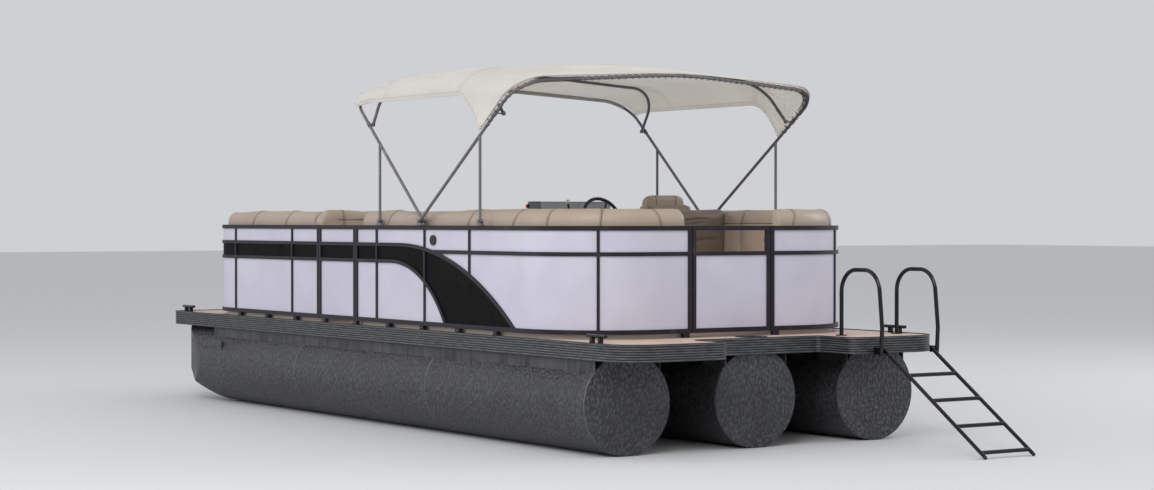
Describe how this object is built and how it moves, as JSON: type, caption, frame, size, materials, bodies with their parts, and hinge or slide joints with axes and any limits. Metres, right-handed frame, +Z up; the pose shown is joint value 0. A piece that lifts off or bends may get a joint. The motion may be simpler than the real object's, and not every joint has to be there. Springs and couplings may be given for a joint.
{
  "type": "pontoon boat",
  "caption": "Pontoon boat with round hull tubes, a fenced cockpit with swinging gates, lounges, a helm, a folding bimini top and a hinged stern ladder.",
  "frame": {"origin": "middle of the overall length and beam, on the floor under the hull tubes", "axes": "+X to the bow, +Y to port, +Z up"},
  "size_m": [7.737, 2.68, 2.6012],
  "materials": {
    "pontoon_aluminium": "hammered, satin",
    "riser_aluminium": "mill finish, satin",
    "deck_vinyl": "matt",
    "rub_rail_black": "satin",
    "frame_black": "satin",
    "panel_white": "gloss",
    "accent_black": "gloss",
    "seat_vinyl": "satin",
    "seat_vinyl_dark": "satin",
    "base_plastic": "matt",
    "console_plastic": "gloss",
    "screen_glass": "tinted",
    "black_plastic": "satin",
    "rail_black": "gloss",
    "bimini_tube": "anodised, satin",
    "canopy_fabric": "matt weave"
  },
  "bodies": {
    "hull": {"bimini_rail_mounts": "bimini_tube", "bow_rub_rail": "rub_rail_black", "center_pontoon": "pontoon_aluminium", "cleats": "rail_black", "cross_members": "riser_aluminium", "deck": "deck_vinyl", "deck_socket": "black_plastic", "fence_feet": "frame_black", "grab_rails": "rail_black", "helm_chair_pedestal": "rail_black", "helm_console": "console_plastic", "helm_divider": "seat_vinyl_dark", "lounge_bases": "base_plastic", "pontoon_risers": "riser_aluminium", "port_accent_band": "accent_black", "port_aft_lounge_back": "seat_vinyl", "port_aft_lounge_cushion": "seat_vinyl", "port_bow_lounge_back": "seat_vinyl", "port_bow_lounge_cushion": "seat_vinyl", "port_fence_frame": "frame_black", "port_fence_panels": "panel_white", "port_pontoon": "pontoon_aluminium", "port_rub_rail": "rub_rail_black", "side_fitting": "black_plastic", "starboard_accent_band": "accent_black", "starboard_aft_lounge_back": "seat_vinyl", "starboard_aft_lounge_cushion": "seat_vinyl", "starboard_bow_lounge_back": "seat_vinyl", "starboard_bow_lounge_cushion": "seat_vinyl", "starboard_fence_frame": "frame_black", "starboard_fence_panels": "panel_white", "starboard_pontoon": "pontoon_aluminium", "starboard_rub_rail": "rub_rail_black", "steering_column": "black_plastic", "stern_rub_rail": "rub_rail_black", "throttle": "black_plastic", "windscreen": "screen_glass"},
    "bow_gate": {"bow_gate_frame": "frame_black", "bow_gate_panel": "panel_white", "bow_gate_accent_band": "accent_black"},
    "port_gate": {"port_gate_frame": "frame_black", "port_gate_panel": "panel_white", "port_gate_accent_band": "accent_black"},
    "stern_gate": {"stern_gate_frame": "frame_black", "stern_gate_panel": "panel_white"},
    "ladder": {"ladder": "rail_black"},
    "helm_chair": {"helm_chair_shell": "seat_vinyl_dark", "helm_chair_cushion": "seat_vinyl", "helm_chair_back": "seat_vinyl"},
    "steering_wheel": {"steering_wheel": "black_plastic"},
    "bimini_rear": {"bimini_rear_bow": "bimini_tube", "canopy": "canopy_fabric"},
    "bimini_front": {"bimini_front_bow": "bimini_tube"},
    "bimini_front_secondary": {"bimini_front_secondary_bow": "bimini_tube"},
    "bimini_rear_secondary": {"bimini_rear_secondary_bow": "bimini_tube"},
    "front_struts": {"bimini_front_struts": "bimini_tube"},
    "rear_struts": {"bimini_rear_struts": "bimini_tube"}
  },
  "joints": [
    {"name": "bow_gate_hinge", "type": "hinge", "parent": "hull", "child": "bow_gate", "pos_m": [3.21955, 0.35, 1.095], "axis": [0, 0, -1], "range_deg": [0, 90]},
    {"name": "port_gate_hinge", "type": "hinge", "parent": "hull", "child": "port_gate", "pos_m": [1.28355, 1.208, 1.095], "axis": [0, 0, 1], "range_deg": [0, 90]},
    {"name": "stern_gate_hinge", "type": "hinge", "parent": "hull", "child": "stern_gate", "pos_m": [-2.17645, -0.324, 1.095], "axis": [0, 0, -1], "range_deg": [0, 90]},
    {"name": "ladder_hinge", "type": "hinge", "parent": "hull", "child": "ladder", "pos_m": [-2.92145, -0.92, 0.63], "axis": [0, 1, 0], "range_deg": [-39.56, 140.44]},
    {"name": "helm_chair_swivel", "type": "hinge", "parent": "hull", "child": "helm_chair", "pos_m": [-0.19145, -0.787, 1.115], "axis": [0, 0, 1], "continuous": true},
    {"name": "steering_turn", "type": "hinge", "parent": "hull", "child": "steering_wheel", "pos_m": [0.47417, -0.79, 1.50036], "axis": [-0.9063, 0, 0.4226], "range_deg": [-540, 540]},
    {"name": "bimini_rear_lower", "type": "hinge", "parent": "hull", "child": "bimini_rear", "pos_m": [-0.27145, 0, 1.475], "axis": [0, -1, 0], "range_deg": [0, 25]},
    {"name": "bimini_front_fold", "type": "hinge", "parent": "bimini_rear", "child": "bimini_front", "pos_m": [-0.27145, 0, 1.475], "axis": [0, -1, 0], "range_deg": [0, 93], "deforming": ["canopy"]},
    {"name": "front_secondary_fold", "type": "hinge", "parent": "bimini_front", "child": "bimini_front_secondary", "pos_m": [0.52094, 0, 2.17605], "axis": [0, 1, 0], "range_deg": [0, 72.5]},
    {"name": "rear_secondary_fold", "type": "hinge", "parent": "bimini_rear", "child": "bimini_rear_secondary", "pos_m": [-1.28183, 0, 2.19039], "axis": [0, -1, 0], "range_deg": [0, 92.7]},
    {"name": "front_strut_fold", "type": "hinge", "parent": "hull", "child": "front_struts", "pos_m": [0.35855, 0, 1.475], "axis": [0, 1, 0], "range_deg": [0, 85]},
    {"name": "rear_strut_fold", "type": "hinge", "parent": "hull", "child": "rear_struts", "pos_m": [-1.08545, 0, 1.475], "axis": [0, -1, 0], "range_deg": [0, 80]}
  ],
  "couplings": [
    {"joint": "front_secondary_fold", "follows": "bimini_front_fold", "ratio": 0.77956},
    {"joint": "rear_secondary_fold", "follows": "bimini_front_fold", "ratio": 0.99677},
    {"joint": "front_strut_fold", "follows": "bimini_front_fold", "ratio": 0.91397},
    {"joint": "rear_strut_fold", "follows": "bimini_rear_lower", "ratio": 3.2}
  ]
}
